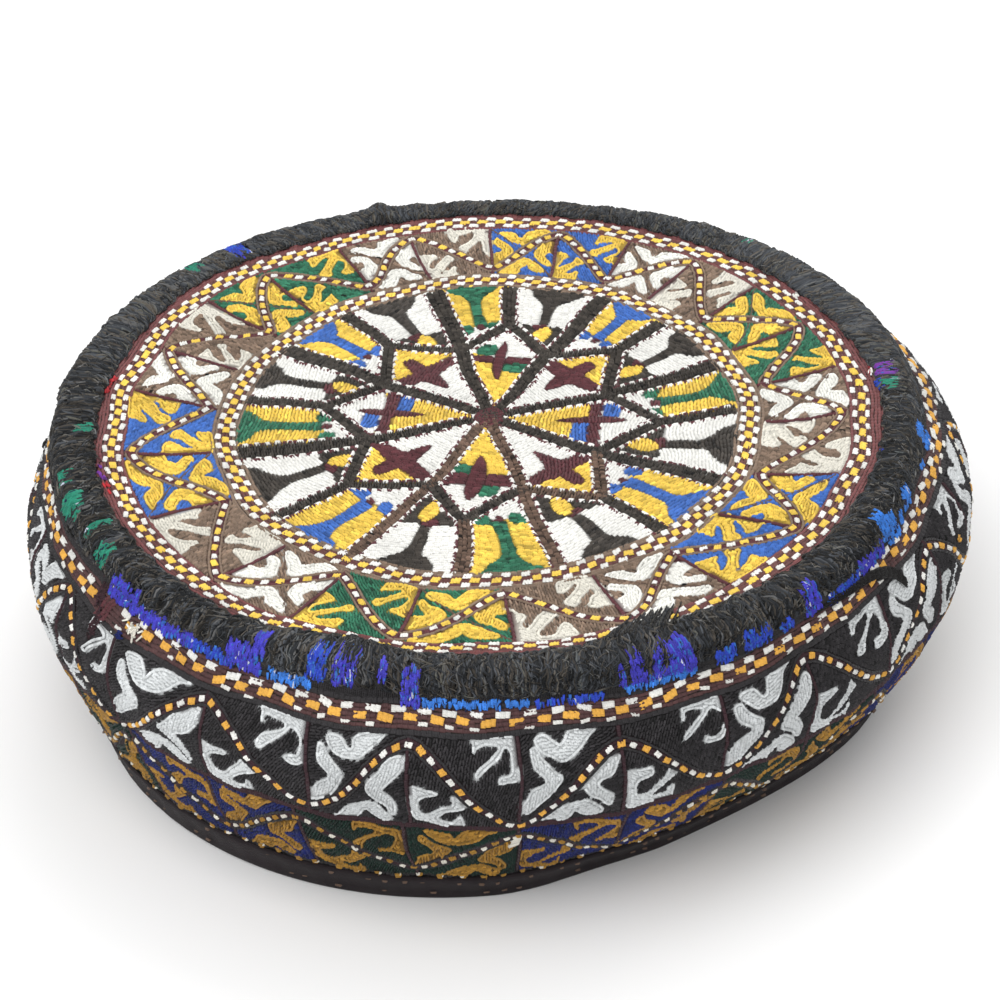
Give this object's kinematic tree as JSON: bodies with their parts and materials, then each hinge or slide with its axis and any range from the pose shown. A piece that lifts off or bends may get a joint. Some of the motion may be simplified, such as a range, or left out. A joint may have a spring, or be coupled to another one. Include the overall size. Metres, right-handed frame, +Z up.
{
  "type": "skullcap",
  "caption": "Round flat-topped folk skullcap with an embroidered crown disc, a bulging embroidered side band, a cut-wool roll over the seam and a folded tape round the opening.",
  "frame": {"origin": "on the surface the cap stands on, under the middle of its bounding box", "axes": "+Z up from the opening to the crown; -Y towards the side nearest the picture's camera; +X to the picture's right"},
  "size_m": [0.2096, 0.2078, 0.0677],
  "materials": {
    "crown_silk": "chain-stitch silk embroidery",
    "band_silk": "chain-stitch silk embroidery",
    "black_wool": "cut wool",
    "black_tape": "woven tape"
  },
  "bodies": {
    "root": {"crown": "crown_silk", "side_band": "band_silk", "wool_roll": "black_wool", "hem_tape": "black_tape"}
  },
  "joints": []
}
